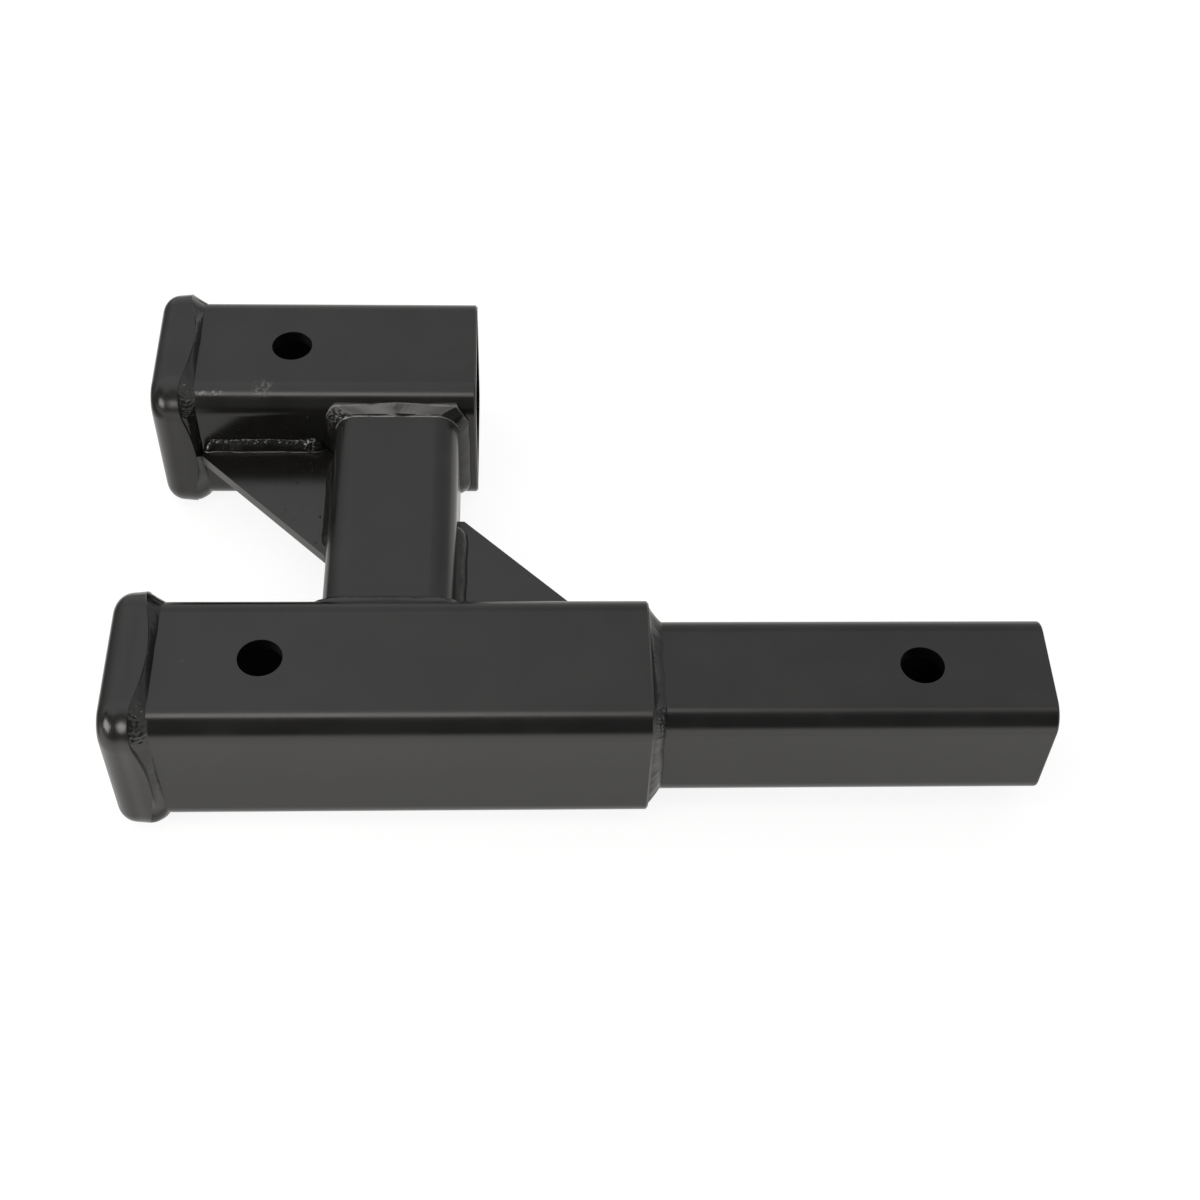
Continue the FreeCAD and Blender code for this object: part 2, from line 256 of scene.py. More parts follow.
def scuffs(tree, place):
    """Share of rubbed metal: specks in patches on the receivers' tops."""
    x, y, z = add_node(tree, "ShaderNodeSeparateXYZ", {"Vector": place}).outputs
    specks = band(tree, noise(tree, place, SCUFF_SCALE, 2.0), 0.46, 0.66)
    found = 0.0
    for centre_x, centre_y, reach_x, reach_y, strength in SCUFFS:
        off_x = maths(tree, "DIVIDE", maths(tree, "SUBTRACT", x, centre_x), reach_x)
        off_y = maths(tree, "DIVIDE", maths(tree, "SUBTRACT", y, centre_y), reach_y)
        off = maths(tree, "ADD", *(maths(tree, "MULTIPLY", part, part) for part in (off_x, off_y)))
        found = maths(tree, "MAXIMUM", found, band(tree, off, 0.1, 1.0, strength, 0.0))
    found = maths(tree, "MULTIPLY", found, maths(tree, "GREATER_THAN", z, RECEIVER_CORNER))
    return maths(tree, "MULTIPLY", found, specks)


receiver_coat = powder_coat(
    "receiver_powder_coat", gloss=0.22, peel=0.000006, wave=0.00005, bores=tube_bores,
    drills=tube_drills, wear_and_glints=scuffs
)
for name in ("lower_receiver_tube", "upper_receiver_tube"):
    dress(name, receiver_coat)

# Collars: forged rings with a round nose, pressed over the receivers' mouths and welded.
# The forging's skin rises a little towards the back edge, more so on the lower one.
FLARE_START = -0.2935
FLARE_END = -0.2885
FLARE_HEIGHT = 0.0008


def back_flare(tree, place):
    """Height of the skin that rises towards a collar's back edge."""
    x, y, _ = add_node(tree, "ShaderNodeSeparateXYZ", {"Vector": place}).outputs
    rise = band(tree, x, FLARE_START, FLARE_END, 0.0, FLARE_HEIGHT)
    return maths(tree, "MULTIPLY", rise, band(tree, y, 0.04, 0.12, 0.65, 0.2))


collar_coat = powder_coat(
    "collar_powder_coat", gloss=0.25, peel=0.000008, wave=0.00009, flare=back_flare
)
for name in ("lower_collar", "upper_collar"):
    dress(name, collar_coat)

# Post: two inch square steel tube across the gap, the same stock and coat as the shank.
# Its ends are coped to the receivers' round corners and welded all round.
dress("post_tube", tube_coat)

# Gussets: flat steel plates cut to triangles, one in each of two opposite corners of the post.
# They are fillet welded on both faces. Plate is smoother than tube, so its coat shines more.
plate_coat = powder_coat("plate_powder_coat", gloss=0.18, peel=0.000006, wave=0.00002, shine=0.57)
for name in ("lower_gusset", "upper_gusset"):
    dress(name, plate_coat)

# Shank weld: one pass of weld metal all round the shank, against the receiver's sawn end.
# Every bead of the part is laid by this same tree, which follows the joint's line.
BEAD_STEP = 0.00028
BEAD_ACROSS = 34
LINE_LAYERS = ("toe_a", "toe_b", "out", "amount", "edge")
FACE_SHARE = 0.76
RIDGE = 0.88
RIDGE_ROUND = 0.25
RESTART_HEIGHT = 0.00015
SHORTEST_END = 0.00001
MERGE_DISTANCE = 0.000001
SHANK_LEG = 0.0051
SHANK_LAND = 0.00105
SHANK_HOLLOW = 2.1
RESTART_RELIEF = 3

# Features a metre, and the seed's shift, of what varies at random along and over a bead
WANDERS = {
    "ripples": (160, 3.0), "crown": (110, 5.0), "lumps": (420, 9.0), "restart": (800, 41.0),
    "grains": (1000, 2.0), "lip": (300, 8.0), "ridge": (200, 6.0),
    "toe_a": (95, 17.0), "toe_a_fine": (480, 17.0), "toe_b": (95, 29.0), "toe_b_fine": (480, 29.0),
}

# Where things on a bead's face start, are full, and end again, as shares of the way to toe B
LIP_BAND = (0.0, 0.02, 0.03, 0.08)
GROOVE_BAND = (0.03, 0.06, 0.14, 0.18)
FRAYED_BAND = (0.58, 0.72, 0.93, 1.0)
RIDGE_BAND = (0.80, 0.87, 0.90, 0.96)


def hump(tree, value, rise_start, rise_end, fall_start, fall_end):
    """1 between a smooth rise and a smooth fall, and 0 beyond them."""
    rising = band(tree, value, rise_start, rise_end)
    return maths(tree, "MULTIPLY", rising, band(tree, value, fall_start, fall_end, 1.0, 0.0))


def weld_bead_tree():
    """Bead along a line of points that carry the way to each toe and the way out of the joint."""
    tree = bpy.data.node_groups.new("weld_bead", "GeometryNodeTree")
    face = tree.interface
    face.new_socket("Geometry", in_out="OUTPUT", socket_type="NodeSocketGeometry")
    face.new_socket("Geometry", in_out="INPUT", socket_type="NodeSocketGeometry")
    for label in ("Crown", "Sink", "Ripple Pitch", "Ripple Height", "Waviness", "Lumps", "End Length"):
        face.new_socket(label, in_out="INPUT", socket_type="NodeSocketFloat")
    face.new_socket("Seed", in_out="INPUT", socket_type="NodeSocketFloat")
    face.new_socket("Coat", in_out="INPUT", socket_type="NodeSocketMaterial")
    given = tree.nodes.new("NodeGroupInput").outputs

    curve = add_node(tree, "GeometryNodeMeshToCurve", {"Mesh": given["Geometry"]}).outputs["Curve"]
    length = add_node(tree, "GeometryNodeCurveLength", {"Curve": curve}).outputs["Length"]
    count = maths(tree, "ROUND", maths(tree, "DIVIDE", length, BEAD_STEP))
    grid = add_node(tree, "GeometryNodeMeshGrid", {
        "Size X": 1.0, "Size Y": 1.0, "Vertices X": count, "Vertices Y": BEAD_ACROSS,
    })
    along, around, _ = add_node(
        tree, "ShaderNodeSeparateXYZ", {"Vector": grid.outputs["UV Map"]}
    ).outputs

    sampled = {}
    for label in LINE_LAYERS:
        field = add_node(tree, "GeometryNodeInputNamedAttribute", {"Name": label}, data_type="FLOAT_VECTOR")
        inputs = {"Curves": curve, "Value": field.outputs["Attribute"], "Factor": along}
        sample = add_node(tree, "GeometryNodeSampleCurve", inputs, data_type="FLOAT_VECTOR", mode="FACTOR")
        sampled[label] = sample.outputs["Value"]
        sampled["place"] = sample.outputs["Position"]

    def moved(place, way, amount):
        """Place moved by an amount of a way."""
        scaled = add_node(tree, "ShaderNodeVectorMath", {0: way, "Scale": amount}, operation="SCALE")
        inputs = {0: scaled.outputs[0], 1: place}
        return add_node(tree, "ShaderNodeVectorMath", inputs, operation="ADD").outputs[0]

    def wander(kind, place=sampled["place"]):
        """Noise of a kind, mostly from -1 to 1, that depends on the place and the seed."""
        scale, shift = WANDERS[kind]
        inputs = {"Vector": place, "Scale": scale, "Detail": 1.0,
                  "W": maths(tree, "ADD", given["Seed"], shift)}
        made = add_node(tree, "ShaderNodeTexNoise", inputs, noise_dimensions="4D")
        return maths(tree, "MULTIPLY_ADD", made.outputs["Fac"], 4.0, -2.0)

    # Across the bead: out over its face from toe A to toe B, then back through the root
    share = maths(tree, "DIVIDE", around, FACE_SHARE, clamp=True)
    swing = maths(tree, "COSINE", maths(tree, "MULTIPLY", share, math.pi))
    face_b = maths(tree, "MULTIPLY_ADD", swing, -0.5, 0.5)
    face_a = maths(tree, "SUBTRACT", 1.0, face_b)
    back = maths(tree, "SUBTRACT", around, FACE_SHARE)
    back = maths(tree, "DIVIDE", back, 1 - FACE_SHARE, clamp=True)
    back_a = maths(tree, "MULTIPLY_ADD", back, 2.0, -1.0, clamp=True)
    back_b = maths(tree, "MULTIPLY_ADD", back, -2.0, 1.0, clamp=True)
    share_a = maths(tree, "ADD", face_a, back_a)
    share_b = maths(tree, "MULTIPLY", face_b, back_b)
    off_middle = maths(tree, "ABSOLUTE", maths(tree, "MULTIPLY_ADD", face_b, 2.0, -1.0))
    rounded_face = maths(tree, "SUBTRACT", 1.0, maths(tree, "POWER", off_middle, 2.6))
    flat_face = maths(tree, "SMOOTH_MIN", maths(tree, "DIVIDE", face_b, RIDGE),
                      maths(tree, "DIVIDE", face_a, 1 - RIDGE), RIDGE_ROUND)
    spot = moved(moved(sampled["place"], sampled["toe_a"], face_a), sampled["toe_b"], face_b)
    more_crown, more_relief, flatness = add_node(
        tree, "ShaderNodeSeparateXYZ", {"Vector": sampled["amount"]}
    ).outputs
    change = maths(tree, "SUBTRACT", flat_face, rounded_face)
    bulge = maths(tree, "MULTIPLY_ADD", change, flatness, rounded_face)

    # Along the bead: crescent ripples, wandering toes and a few lumps
    ripples = maths(tree, "ROUND", maths(tree, "DIVIDE", length, given["Ripple Pitch"]))
    crescent = maths(tree, "MULTIPLY", maths(tree, "POWER", off_middle, 2.0), 0.8)
    phase = maths(tree, "ADD", maths(tree, "MULTIPLY", along, ripples), crescent)
    phase = maths(tree, "ADD", phase, maths(tree, "MULTIPLY", wander("ripples"), 0.45))
    scallop = maths(tree, "ABSOLUTE", maths(tree, "COSINE", maths(tree, "MULTIPLY", phase, math.pi)))
    ripple = maths(tree, "MULTIPLY", maths(tree, "SUBTRACT", scallop, 0.6), given["Ripple Height"])
    lumps = maths(tree, "MULTIPLY", wander("lumps", spot), given["Lumps"])
    relief = maths(tree, "MULTIPLY", maths(tree, "ADD", ripple, lumps), more_relief)
    restarted = maths(tree, "MULTIPLY_ADD", more_relief, 0.33, -0.33, clamp=True)
    restart = wander("restart", spot)
    blobs = maths(tree, "MULTIPLY", maths(tree, "MULTIPLY", restart, RESTART_HEIGHT), restarted)
    relief = maths(tree, "ADD", relief, blobs)
    uneven = maths(tree, "MULTIPLY_ADD", flatness, -0.29, 0.3)
    uneven = maths(tree, "MULTIPLY_ADD", wander("crown"), uneven, 1.0)
    crown = maths(tree, "MULTIPLY", given["Crown"], uneven)
    crown = maths(tree, "MULTIPLY", maths(tree, "MULTIPLY", crown, more_crown), bulge)
    relief = maths(tree, "MULTIPLY", relief, rounded_face)

    # At the toes: a groove of undercut and a lip at toe A, spatter grown on at toe B
    undercut, lip, frayed = add_node(
        tree, "ShaderNodeSeparateXYZ", {"Vector": sampled["edge"]}
    ).outputs
    groove = hump(tree, face_b, *GROOVE_BAND)
    raised = maths(tree, "SUBTRACT", crown, maths(tree, "MULTIPLY", undercut, groove))
    thin = hump(tree, face_b, *LIP_BAND)
    raised = maths(tree, "ADD", raised, maths(tree, "MULTIPLY", lip, thin))
    beside = hump(tree, face_b, *FRAYED_BAND)
    grains = wander("grains", spot)
    crumbs = maths(tree, "MULTIPLY", maths(tree, "MAXIMUM", grains, 0.0), frayed)
    raised = maths(tree, "ADD", raised, maths(tree, "MULTIPLY", crumbs, beside))
    raised = maths(tree, "SUBTRACT", maths(tree, "ADD", raised, relief), given["Sink"])

    # Painted glints: a pale colour along the lip and the ridge, and in specks on restarts and frayed toes,
    # that stands in for highlights
    shines = []
    for amount, where in (
        (band(tree, wander("lip"), -0.9, 0.4, 0.25, 1.0),
         maths(tree, "MULTIPLY", thin, band(tree, lip, 0.0, 0.0001))),
        (band(tree, wander("ridge"), -1.0, 0.6, 0.1, 0.55),
         maths(tree, "MULTIPLY", hump(tree, face_b, *RIDGE_BAND), flatness)),
        (band(tree, restart, 0.45, 0.9, 0.0, 0.5),
         maths(tree, "MULTIPLY", restarted, rounded_face)),
        (band(tree, grains, 0.35, 0.9, 0.0, 0.4),
         maths(tree, "MULTIPLY", beside, band(tree, frayed, 0.0, 0.0003))),
    ):
        shines.append(maths(tree, "MULTIPLY", amount, where))
    painted_glint = maths(tree, "MAXIMUM", maths(tree, "MAXIMUM", shines[0], shines[1]),
                      maths(tree, "MAXIMUM", shines[2], shines[3]))

    # The toes wander, less so on a flat face
    wavy = maths(tree, "MULTIPLY_ADD", flatness, -0.9, 1.0)
    wavy = maths(tree, "MULTIPLY", given["Waviness"], wavy)
    toes = {}
    for label in ("toe_a", "toe_b"):
        fine = maths(tree, "MULTIPLY", wander(label + "_fine"), 0.2)
        drift = maths(tree, "ADD", wander(label), fine)
        toes[label] = maths(tree, "MULTIPLY_ADD", drift, wavy, 1.0)

    # Open beads round off at both ends
    walked = maths(tree, "MULTIPLY", along, length)
    left = maths(tree, "SUBTRACT", length, walked)
    nearest = maths(tree, "MINIMUM", walked, left)
    nearest = maths(tree, "DIVIDE", nearest, given["End Length"], clamp=True)
    rest = maths(tree, "SUBTRACT", 1.0, nearest)
    rounded = maths(tree, "SQRT", maths(tree, "SUBTRACT", 1.0, maths(tree, "MULTIPLY", rest, rest)))
    is_open = maths(tree, "GREATER_THAN", given["End Length"], SHORTEST_END)
    is_ring = maths(tree, "SUBTRACT", 1.0, is_open)
    end = maths(tree, "ADD", maths(tree, "MULTIPLY", rounded, is_open), is_ring)

    offset = sampled["place"]
    for label, amount in (
        ("toe_a", maths(tree, "MULTIPLY", share_a, toes["toe_a"])),
        ("toe_b", maths(tree, "MULTIPLY", share_b, toes["toe_b"])),
        ("out", raised),
    ):
        offset = moved(offset, sampled[label], maths(tree, "MULTIPLY", amount, end))

    marked = add_node(tree, "GeometryNodeStoreNamedAttribute", {
        "Geometry": grid.outputs["Mesh"], "Name": "painted_glint",
    }, data_type="FLOAT", domain="POINT")
    tree.links.new(painted_glint, [socket for socket in marked.inputs if socket.name == "Value"][0])
    shape = marked.outputs[0]
    for kind, inputs in (
        ("GeometryNodeSetPosition", {"Position": offset}),
        ("GeometryNodeMergeByDistance", {"Distance": MERGE_DISTANCE}),
        ("GeometryNodeSetShadeSmooth", {}),
        ("GeometryNodeRealizeInstances", {}),
        ("GeometryNodeSetMaterial", {"Material": given["Coat"]}),
    ):
        shape = add_node(tree, kind, {"Geometry": shape, **inputs}).outputs[0]
    tree.links.new(shape, tree.nodes.new("NodeGroupOutput").inputs["Geometry"])
    return tree


def meshed(name, points, tree, settings):
    """Plain mesh object that a Geometry Nodes tree makes from a mesh of points."""
    carrier = bpy.data.objects.new(name + "_carrier", points)
    bpy.context.scene.collection.objects.link(carrier)
    modifier = carrier.modifiers.new("grow", "NODES")
    modifier.node_group = tree
    for item in tree.interface.items_tree:
        if item.name in settings:
            modifier[item.identifier] = settings[item.name]
    seen = carrier.evaluated_get(bpy.context.evaluated_depsgraph_get())
    mesh = bpy.data.meshes.new_from_object(seen)
    carrier.modifiers.clear()
    bpy.data.objects.remove(carrier)
    skin = bmesh.new()
    skin.from_mesh(mesh)
    bmesh.ops.recalc_face_normals(skin, faces=skin.faces)
    skin.to_mesh(mesh)
    skin.free()
    piece = bpy.data.objects.new(name, mesh)
    bpy.context.scene.collection.objects.link(piece)
    return piece


def grown(name, line, tree, settings):
    """Plain mesh object that a Geometry Nodes tree grows on a line of points."""
    joints = bpy.data.meshes.new(name + "_line")
    count = len(line["points"])
    last = count if line["closed"] else count - 1
    joints.from_pydata(line["points"], [(i, (i + 1) % count) for i in range(last)], [])
    for label in LINE_LAYERS:
        layer = joints.attributes.new(label, "FLOAT_VECTOR", "POINT")
        for i, vector in enumerate(line[label]):
            layer.data[i].vector = vector
    return meshed(name, joints, tree, settings)


def joint_line(points, toe_a, toe_b, closed, amount, edge=None):
    """Line of a joint: points, ways to both toes and out between them, and what varies along it.

    Amounts multiply the crown and the relief and give the share of a flat face with a ridge;
    edges are the heights of the undercut's step, of the lip and of the frayed toe.
    """
    outs = []
    for a, b in zip(toe_a, toe_b):
        chord = b - a
        middle = a + b
        outs.append((middle - chord * middle.dot(chord) / chord.length_squared).normalized())
    return {"points": points, "closed": closed, "toe_a": toe_a, "toe_b": toe_b, "out": outs,
            "amount": amount, "edge": edge or [Vector((0, 0, 0))] * len(points)}


def square_ring(half_u, half_v, corner, steps=14, side_points=12):
    """Points round a rectangle with round corners and their ways out; rings match point for point."""
    ring = []
    for side_u, side_v, start in ((1, 1, 0), (-1, 1, 90), (-1, -1, 180), (1, -1, 270)):
        centre = Vector((side_u * (half_u - corner), side_v * (half_v - corner)))
        for step in range(steps + 1):
            angle = math.radians(start + 90 * step / steps)
            way = Vector((math.cos(angle), math.sin(angle)))
            ring.append((centre + way * corner, way))
    filled = []
    for i, (place, way) in enumerate(ring):
        filled.append((place, way))
        if i % (steps + 1) == steps:
            to = ring[(i + 1) % len(ring)][0]
            filled.extend((place.lerp(to, k / side_points), way) for k in range(1, side_points))
    return filled


def painted_glint_share(tree, place):
    """Share of painted glint, a pale colour standing in for highlights, that the bead's tree left on its
    mesh.
    """
    return add_node(tree, "ShaderNodeAttribute", attribute_name="painted_glint").outputs["Fac"]


# The weld's coat is painted pale where its bead's tree marked glints: painted highlights
weld_coat = powder_coat("weld_powder_coat", gloss=0.17, peel=0.000004, wave=0.00003, wear_and_glints=painted_glint_share)
bead_tree = weld_bead_tree()


def lay_bead(name, line, **settings):
    """Lays a bead and puts it in the place of its CAD node."""
    given = {"Crown": 0.0005, "Sink": 0.00012, "Ripple Pitch": 0.0015, "Ripple Height": 0.00005,
             "Waviness": 0.06, "Lumps": 0.00004, "End Length": 0.0, "Seed": 1.0, "Coat": weld_coat}
    given.update(settings)
    piece = grown(name + "_bead", line, bead_tree, given)
    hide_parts(name)
    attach(piece, "root")


def shank_line():
    """Joint round the shank: it fills the receiver's cut end to just inside the receiver's edge."""
    points, toe_a, toe_b, amount = [], [], [], []
    foot = square_ring(shank_half, shank_half, TUBE_CORNER)
    top_half = receiver_half - SHANK_LAND
    top = square_ring(top_half, top_half, RECEIVER_CORNER - SHANK_LAND)
    for (place, way), (edge, _) in zip(foot, top):
        corner = abs(way.x * way.y) * 2
        restart = way.x < 0 < way.y
        points.append(Vector((step_x, place.x, place.y)))
        toe_a.append(Vector((SHANK_LEG, 0, 0)))
        toe_b.append(Vector((0, edge.x - place.x, edge.y - place.y)))
        hollow = max(corner, way.y) * (1 - corner if restart else 1)
        relief = 1 + RESTART_RELIEF * corner if restart else 1
        amount.append(Vector((1 - SHANK_HOLLOW * hollow, relief, 0)))
    return joint_line(points, toe_a, toe_b, True, amount)


lay_bead("shank_weld", shank_line(), Seed=2.0, Lumps=0.00006, Waviness=0.10)

# Collar welds: a ring of weld metal behind each collar. It runs out on the collar's edge, but
# for a step along the near side, and bulges round the bottom corners.
COLLAR_LEG_END = -0.2826
COLLAR_FLARE_SLOPE = 1.4 / 16.3
COLLAR_DISH_SLOPE = 0.477
COLLAR_LAND = 0.0001
COLLAR_TOP_SHORTER = 0.0007
BACK_ROUNDS = 6
collar_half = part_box("lower_collar")[1].z
collar_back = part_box("lower_collar")[1].x


def collar_line(centre_y, step):
    """Joint behind a collar, from the collar's dished back face down to the receiver."""
    points, toe_a, toe_b, amount = [], [], [], []
    for place, way in square_ring(receiver_half, receiver_half, RECEIVER_CORNER):
        def back_at(rise):
            """Where the collar's back face lies at this height above the receiver."""
            return collar_back - max((place + way * rise).length - collar_half, 0) * COLLAR_DISH_SLOPE

        rise = collar_half - receiver_half
        for _ in range(BACK_ROUNDS):
            rise = collar_half - receiver_half - (collar_back - back_at(rise)) * COLLAR_FLARE_SLOPE
        corner = min(1.0, abs(way.x * way.y) * 3)
        rise -= COLLAR_LAND + step * max(0, -way.x) * (1 - corner)
        root_x = back_at(0)
        reach = COLLAR_LEG_END - root_x
        if way.y > 0.9:
            reach -= COLLAR_TOP_SHORTER
        points.append(Vector((root_x, centre_y + place.x, place.y)))
        toe_a.append(Vector((reach, 0, 0)))
        toe_b.append(Vector((back_at(rise) - root_x, way.x * rise, way.y * rise)))
        restart = corner if way.x < 0 < way.y else 0
        fuller = 1 - 1.5 * (corner - restart) if way.y > 0 else 1 + 2.2 * corner
        amount.append(Vector((fuller, 1 + RESTART_RELIEF * restart, 0)))
    return joint_line(points, toe_a, toe_b, True, amount)


for name, centre_y, step, seed in (
    ("lower_collar_weld", 0.0, 0.0011, 4.0),
    ("upper_collar_weld", upper_y, 0.0003, 7.0),
):
    lay_bead(name, collar_line(centre_y, step), Seed=seed, Crown=0.00025, Waviness=0.09, Lumps=0.00006)

# Post welds: all round both ends of the post, filling the groove beside the round corners.
# The upper one was capped by a flat pass whose far edge stands proud of the receiver's corner
# and whose near edge is undercut in three places.
POST_LEG = 0.0042
POST_RISE = 0.0022
POST_CORNER = 0.005
POST_OVERLAP = 0.0004
POST_SHELLS = 40
BEAD_TOE = 0.0003
RIDGE_CROWN = 3.85
LIP_HEIGHT = 0.00012
POST_RESTART_RELIEF = 5
LOWER_TOP_SHORTER = 0.45
RIGHT_CORNER_SHORTER = 0.35

# Place in X, half length and depth of each undercut
UNDERCUTS = ((-0.2112, 0.0050, 0.0006), (-0.1965, 0.0022, 0.0005), (-0.1857, 0.0014, 0.0005))
post_low, post_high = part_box("post_tube")
post_x = (post_low.x + post_high.x) / 2


def flank_depth(z):
    """How far a receiver's side has curved back at this height."""
    past_flat = max(abs(z) - (receiver_half - RECEIVER_CORNER), 0)
    return RECEIVER_CORNER - math.sqrt(RECEIVER_CORNER ** 2 - min(past_flat, RECEIVER_CORNER) ** 2)


def post_line(axis_y, up, capped):
    """Joint round the post at the receiver on axis_y; up is the way along the post, away from it."""
    root = flank_depth(shank_half + POST_RISE) + POST_OVERLAP
    shells = []
    for k in range(POST_SHELLS + 1):
        share = k / POST_SHELLS
        along = POST_LEG - share * (POST_LEG + root)
        spread = shank_half + BEAD_TOE + share * (POST_LEG + root)
        rise = BEAD_TOE + share * (POST_RISE - BEAD_TOE)
        corner = TUBE_CORNER + share * (POST_CORNER - TUBE_CORNER) + rise
        shells.append((along, square_ring(spread, shank_half + rise, corner)))
    points, toe_a, toe_b, amount, ends = [], [], [], [], []
    for i, (place, way) in enumerate(square_ring(shank_half, shank_half, TUBE_CORNER)):
        edge, above = shells[0][1][i][0], POST_LEG
        for along, ring in shells[1:]:
            further = ring[i][0]
            over = along + flank_depth(further.y)
            if over < 0:
                edge = edge.lerp(further, above / (above - over))
                break
            edge, above = further, over
        foot = Vector((post_x + place.x, axis_y + up * (receiver_half - flank_depth(place.y)), place.y))
        meets = Vector((post_x + edge.x, axis_y + up * (receiver_half - flank_depth(edge.y)), edge.y))
        leg = POST_LEG * (1 if capped else 1 - LOWER_TOP_SHORTER * max(0, way.y))
        leg += flank_depth(place.y)
        points.append(foot)
        toe_a.append(Vector((0, up * leg, 0)))
        corner = abs(way.x * way.y) * 2 if capped and way.y > 0 else 0
        toe_b.append((meets - foot) * (1 - (RIGHT_CORNER_SHORTER * corner if way.x > 0 else 0)))
        flat = min(1, max(0, (way.y - 0.1) / 0.5)) if capped else 0
        restart = corner if way.x < 0 else 0
        relief = 1 - 0.7 * flat + POST_RESTART_RELIEF * restart
        amount.append(Vector((1 + (RIDGE_CROWN - 1) * flat, relief, flat)))
        undercut = sum(h * math.exp(-((foot.x - x) / w) ** 4) for x, w, h in UNDERCUTS) * flat
        ends.append(Vector((undercut, LIP_HEIGHT * flat, 0)))
    return joint_line(points, toe_a, toe_b, True, amount, ends)


lay_bead("lower_post_weld", post_line(0.0, 1, False), Seed=11.0)
lay_bead("upper_post_weld", post_line(upper_y, -1, True), Seed=13.0, Waviness=0.08)

# Gusset welds: short fillet runs on both faces of each plate, at the receiver and at the post.
# The upper plate's run along its receiver is the roughest on the part.
GUSSET_LEG = 0.0042
ROUGH_LEG = 0.0029
ROUGH_RISE = 0.0049
ROUGH_EDGE = Vector((0, 0.00022, 0.00035))
BLOB_PLACE = 0.93
BLOB_REACH = 0.10
SLUMP_REACH = 0.08
RUN_STEPS = 28
for level in ("lower", "upper"):
    turn = 1 if level == "lower" else -1
    for face, side in (("top", 1), ("bottom", -1)):
        plate_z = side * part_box(level + "_gusset")[1].z
        for member in ("receiver", "post"):
            name = f"{level}_gusset_{member}_weld_{face}"
            rough = name == "upper_gusset_receiver_weld_top"
            low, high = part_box(name)
            if member == "receiver":
                y = low.y if turn > 0 else high.y
                ends = [Vector((low.x, y, plate_z)), Vector((high.x, y, plate_z))]
                leg = Vector((0, turn * (ROUGH_LEG if rough else GUSSET_LEG), 0))
            else:
                x = low.x if turn > 0 else high.x
                ends = [Vector((x, low.y, plate_z)), Vector((x, high.y, plate_z))]
                leg = Vector((turn * GUSSET_LEG, 0, 0))
            rise = Vector((0, 0, side * (ROUGH_RISE if rough else GUSSET_LEG)))
            points, toe_a, toe_b, amount, edge = [], [], [], [], []
            for i in range(RUN_STEPS + 1):
                share = i / RUN_STEPS
                blob = max(0, 1 - abs(share - BLOB_PLACE) / BLOB_REACH) if rough else 0
                slump = max(0, 1 - share / SLUMP_REACH) if rough else 0
                points.append(ends[0].lerp(ends[1], share))
                toe_a.append(leg * (1 + 0.7 * slump))
                toe_b.append(rise * (1 + 0.25 * blob))
                amount.append(Vector((1 + 1.6 * blob, 1 + 5 * blob, 0)))
                edge.append(ROUGH_EDGE * (1 if rough else 0))
            lay_bead(name, joint_line(points, toe_a, toe_b, False, amount, edge), **{
                "End Length": GUSSET_LEG, "Seed": 20.0 + len(name) + side + turn,
                "Waviness": 0.13 if rough else 0.08, "Lumps": 0.00006,
            })

# Spatter: small balls of steel that flew off the arc, stuck beside the beads and coated over.
# All are smaller than a pin's head: on the upper plate, the receiver's side and the post's end.
SPATTER_SINK = 0.35
SPATTER_SEED = 5
BALL_STRETCH = (0.75, 1.1)
FACING_UP = (0, 0, 1)
FACING_NEAR = (0, -1, 0)
SMALL_BALL = (0.00015, 0.0004)
TINY_BALL = (0.0001, 0.0002)
PLATE_DRAWS = 26
PLATE_EDGE = 0.056
SIDE_DRAWS = 22
SIDE_REACH = 0.020
POST_DRAWS = 14


